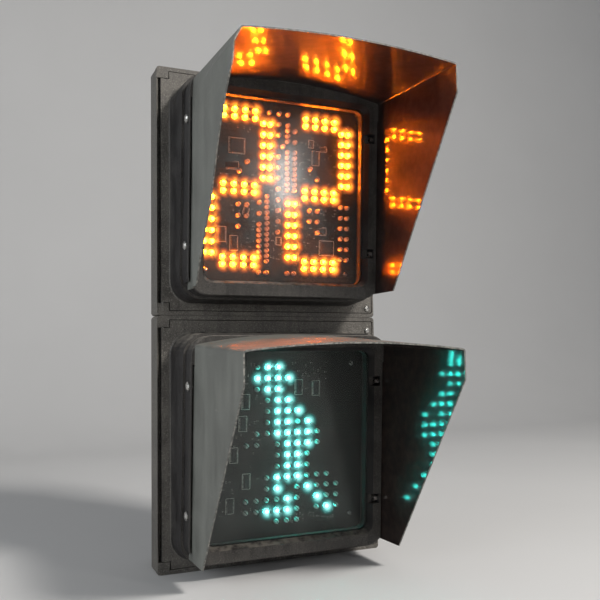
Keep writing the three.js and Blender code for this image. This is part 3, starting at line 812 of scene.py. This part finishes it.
# %% Chips, legs and print
CHIP = {"thick": 1.6 * MM, "middle": -1.1 * MM, "front": -1.8 * MM, "chamfer": 0.35 * MM}
LEG = {"long": 2.0 * MM, "thin": 0.25 * MM, "wide": 0.7 * MM, "out": 0.7 * MM, "middle": -0.45 * MM,
       "foot": 0.1 * MM, "bend": 0.3 * MM, "row": 0.94}
PRINT = {"wide": 0.7 * MM, "thin": 0.08 * MM, "side_gap": 2.3 * MM, "end_gap": 1.3 * MM}
RESISTOR = {"size": (3.0 * MM, 0.6 * MM, 1.5 * MM), "middle": -0.35 * MM, "glazed_half": 1.0 * MM}


def block(size, middle):
    clear_selection()
    bpy.ops.mesh.primitive_cube_add(size=1, location=middle)
    piece = bpy.context.object
    piece.scale = size
    bpy.ops.object.transform_apply(location=True, rotation=True, scale=True)
    return piece


def laid(way, outwards, y, along):
    """A size or place at a chip's side, where outwards is X, or at its end, where outwards is Z."""
    return (outwards, y, along) if way == "x" else (along, y, outwards)


def chip_leg(way, side, out, along):
    """A leg whose outer end is pulled back to the board. Its middle is out from the chip's middle."""
    leg = block(laid(way, LEG["long"], LEG["thin"], LEG["wide"]), laid(way, side * out, LEG["middle"], along))
    bpy.ops.object.mode_set(mode="EDIT")
    pick("verts", lambda p, _: getattr(p, way) * side > out + LEG["foot"])
    shift(y=LEG["bend"])
    bpy.ops.object.mode_set(mode="OBJECT")
    leg.data.materials.append(leg_tin)
    return leg


def chip(width, height, legs, four_sided=False):
    """A chip that lies on the origin facing -Y, with its legs and its printed frame."""
    half = {"x": width / 2, "z": height / 2}
    frame_half = {"x": half["x"] + PRINT["side_gap"], "z": half["z"] + PRINT["end_gap"]}
    other = {"x": "z", "z": "x"}
    body = block((width, CHIP["thick"], height), (0, CHIP["middle"], 0))
    bpy.ops.object.mode_set(mode="EDIT")
    pick("edges", lambda p, e: all(c.co.y < CHIP["front"] for c in e.verts))
    bpy.ops.mesh.bevel(offset=CHIP["chamfer"], segments=1)
    bpy.ops.object.mode_set(mode="OBJECT")
    body.data.materials.append(chip_epoxy)
    parts = [body]
    for way in "xz" if four_sided else "x":
        span = 2 * half[other[way]]
        for side in (-1, 1):
            for i in range(legs):
                along = span * ((i + 0.5) / legs - 0.5) * LEG["row"]
                parts.append(chip_leg(way, side, half[way] + LEG["out"], along))
    for side in (-1, 1):
        for way in "xz":
            line = block(laid(way, PRINT["wide"], PRINT["thin"], 2 * frame_half[other[way]]),
                         laid(way, side * frame_half[way], -PRINT["thin"], 0))
            line.data.materials.append(white_print)
            parts.append(line)
    clear_selection()
    for part in parts:
        part.select_set(True)
    bpy.context.view_layer.objects.active = body
    bpy.ops.object.join()
    return leaned_model(bpy.context.object)


def resistor():
    """A chip resistor: a dark glazed middle between two tinned ends."""
    edge = RESISTOR["glazed_half"]
    body = block(RESISTOR["size"], (0, RESISTOR["middle"], 0))
    bpy.ops.object.mode_set(mode="EDIT")
    cut((-edge, 0, 0), (1, 0, 0))
    cut((edge, 0, 0), (1, 0, 0))
    bpy.ops.object.mode_set(mode="OBJECT")
    body.data.materials.append(resistor_glaze)
    body.data.materials.append(leg_tin)
    for face in body.data.polygons:
        face.material_index = 1 if abs(face.center.x) > edge else 0
    return leaned_model(body)


def place_parts(model, name, section, places):
    """Spreads a part, which keeps its own finishes, over its places: x and z in mm, and a turn."""
    spread(model, name, section, [(x * MM, z * MM, turn) for x, z, turn in places])


UP = math.pi / 2
driver_chip = chip(7.5 * MM, 19 * MM, 10)
small_chip = chip(4 * MM, 9 * MM, 5)
main_chip = chip(20 * MM, 20 * MM, 11, four_sided=True)
chip_resistor = resistor()
place_parts(driver_chip, "lower_driver_chips", "lower",
            [(-56, 56, 0), (-60, 25, 0), (-73, -19, 0), (-54, -57, 0), (-78, -90, 0), (26, 75, 0),
             (54, 73, 0)])
place_parts(driver_chip, "upper_driver_chips", "upper",
            [(-87, -65, 0), (-69, -77, 0), (60, 57, 0), (68, -53, UP), (-74, 35, UP)])
place_parts(main_chip, "upper_main_chip", "upper", [(-66, 64, 0), (80, -78, 0)])
place_parts(small_chip, "upper_small_chips", "upper",
            [(-51, -30, 0.3), (52, 78, 0), (72, 72, UP), (1, -71, 0)])

LAMP_GAP, RESISTOR_GAP = 5.5, 3.6
MOST_TRIES = 4000
UPPER_BOXES = ((-98, -37, -92, 92), (34, 97, -92, 92), (-12, 13, -100, 94))
LOWER_BOXES = ((-96, -32, -108, 112), (-66, 72, 60, 112), (13, 87, -121, -108))
rng = random.Random(7)


def resistor_places(taken, boxes, count):
    """Scattered places in mm inside the boxes, kept off the lamps. A box is left, right, low and high."""
    lamps = [(x / MM, z / MM) for x, z in taken]
    places = []
    tries = 0
    while len(places) < count and tries < MOST_TRIES:
        tries += 1
        left, right, low, high = rng.choice(boxes)
        place = (rng.uniform(left, right), rng.uniform(low, high))
        if (all(math.dist(place, lamp) > LAMP_GAP for lamp in lamps)
                and all(math.dist(place, other[:2]) > RESISTOR_GAP for other in places)):
            places.append((*place, rng.choice((0, UP))))
    return places


place_parts(chip_resistor, "upper_resistors", "upper",
            resistor_places(digit_all + figure_dark, UPPER_BOXES, 150))
place_parts(chip_resistor, "lower_resistors", "lower",
            resistor_places(walking_lit + walking_dark, LOWER_BOXES, 130))
for model in (lamp_model, halo_model, driver_chip, small_chip, main_chip, chip_resistor):
    bpy.data.objects.remove(model)

# %% [markdown]
# ## Floor and light
# The floor is a plain pale sheet that curves up behind the object, so no line crosses the picture. One
# soft light stands to the right, high and in front, like a bright sky. A wide, weak one fills the left
# side. A third, narrow and upright, is only there to be mirrored: it draws a pale streak on the upper lens.

# %% Stage
FLOOR_SIZE = (9, 6.0)
FLOOR_MIDDLE, FLOOR_END = -1.6, 1.4
BEND, BEND_STEPS, WALL = 1.0, 16, 3.5


def studio_paper():
    f = Finish("studio_paper")
    tone = f.noise(0.6, 3)
    colour = f.mix(tone, (0.62, 0.62, 0.62), (0.68, 0.68, 0.68))
    return f.done(f.coat(colour, Roughness=0.85, Normal=f.bump(f.noise(2 * MM), 0.1 * MM, 0.3)))


def studio_sweep():
    """A floor whose far edge is spun up into a wall and carried on upwards."""
    clear_selection()
    bpy.ops.mesh.primitive_plane_add(size=1)
    sweep = bpy.context.object
    bpy.ops.object.mode_set(mode="EDIT")
    floor_z = frame_box[0].z
    bpy.ops.transform.resize(value=(*FLOOR_SIZE, 1))
    shift(y=FLOOR_MIDDLE, z=floor_z)
    pick("edges", lambda p, e: p.y > FLOOR_END - 10 * MM)
    bpy.ops.mesh.spin(steps=BEND_STEPS, angle=-math.pi / 2, center=(0, FLOOR_END, floor_z + BEND),
                      axis=(1, 0, 0))
    bpy.ops.mesh.extrude_edges_move(TRANSFORM_OT_translate={"value": (0, 0, WALL)})
    bpy.ops.object.mode_set(mode="OBJECT")
    bpy.ops.object.shade_smooth()
    sweep.name = "studio_sweep"
    sweep.data.materials.append(studio_paper())
    print("sweep", [round(d, 2) for d in sweep.dimensions])


def soft_light(name, place, target, size, power, colour):
    """An area light, in watts, that looks at a target."""
    light = bpy.data.lights.new(name, "AREA")
    light.shape = "RECTANGLE"
    light.size, light.size_y = size
    light.energy = power
    light.color = colour
    lamp = bpy.data.objects.new(name, light)
    lamp.location = place
    lamp.rotation_euler = (Vector(target) - Vector(place)).to_track_quat("-Z", "Y").to_euler()
    bpy.context.scene.collection.objects.link(lamp)


studio_sweep()
MIDDLE = (0, -0.15, 0.37)
GLINT_ON_LENS = (0.028, -0.135, 0.556)
soft_light("key_light", (1.25, -2.0, 2.4), MIDDLE, (0.6, 0.6), 84, (1.0, 0.96, 0.91))
soft_light("lens_glint", (0.745, -1.948, 0.798), GLINT_ON_LENS, (0.05, 0.22), 3.2, (1.0, 0.98, 0.95))
soft_light("left_fill", (-2.4, -0.9, 1.0), MIDDLE, (1.8, 1.8), 26, (0.93, 0.97, 1.0))
world = bpy.data.worlds.new("studio_air")
world.use_nodes = True
air = world.node_tree.nodes["Background"].inputs
air["Color"].default_value = (0.80, 0.82, 0.85, 1)
air["Strength"].default_value = 0.22
bpy.context.scene.world = world
bpy.context.scene.view_settings.view_transform = "Standard"

# %% [markdown]
# ## Camera
# The camera stands low in front and to the left, and looks slightly up. Two directions say which way it
# looks and where its top points. Together with the one to the right they are the columns of its rotation.
# Shifting the lens centres the head in the picture without turning the camera.

# %% Camera
camera = bpy.data.objects.new("camera", bpy.data.cameras.new("camera"))
camera.data.sensor_width = 36
camera.data.lens = 44.45
camera.data.shift_x = 0.0158
camera.data.shift_y = 0.0192
camera.data.clip_start = 0.01
camera.location = (-0.41604, -1.10503, 0.29683)
gaze = Vector((0.39542, 0.91625, 0.06433)).normalized()
above = Vector((-0.01290, -0.06449, 0.99783)).normalized()
right = gaze.cross(above).normalized()
above = right.cross(gaze)
turn = [[right[i], above[i], -gaze[i]] for i in range(3)]
camera.rotation_euler = Matrix(turn).to_euler()
bpy.context.scene.collection.objects.link(camera)
bpy.context.scene.camera = camera
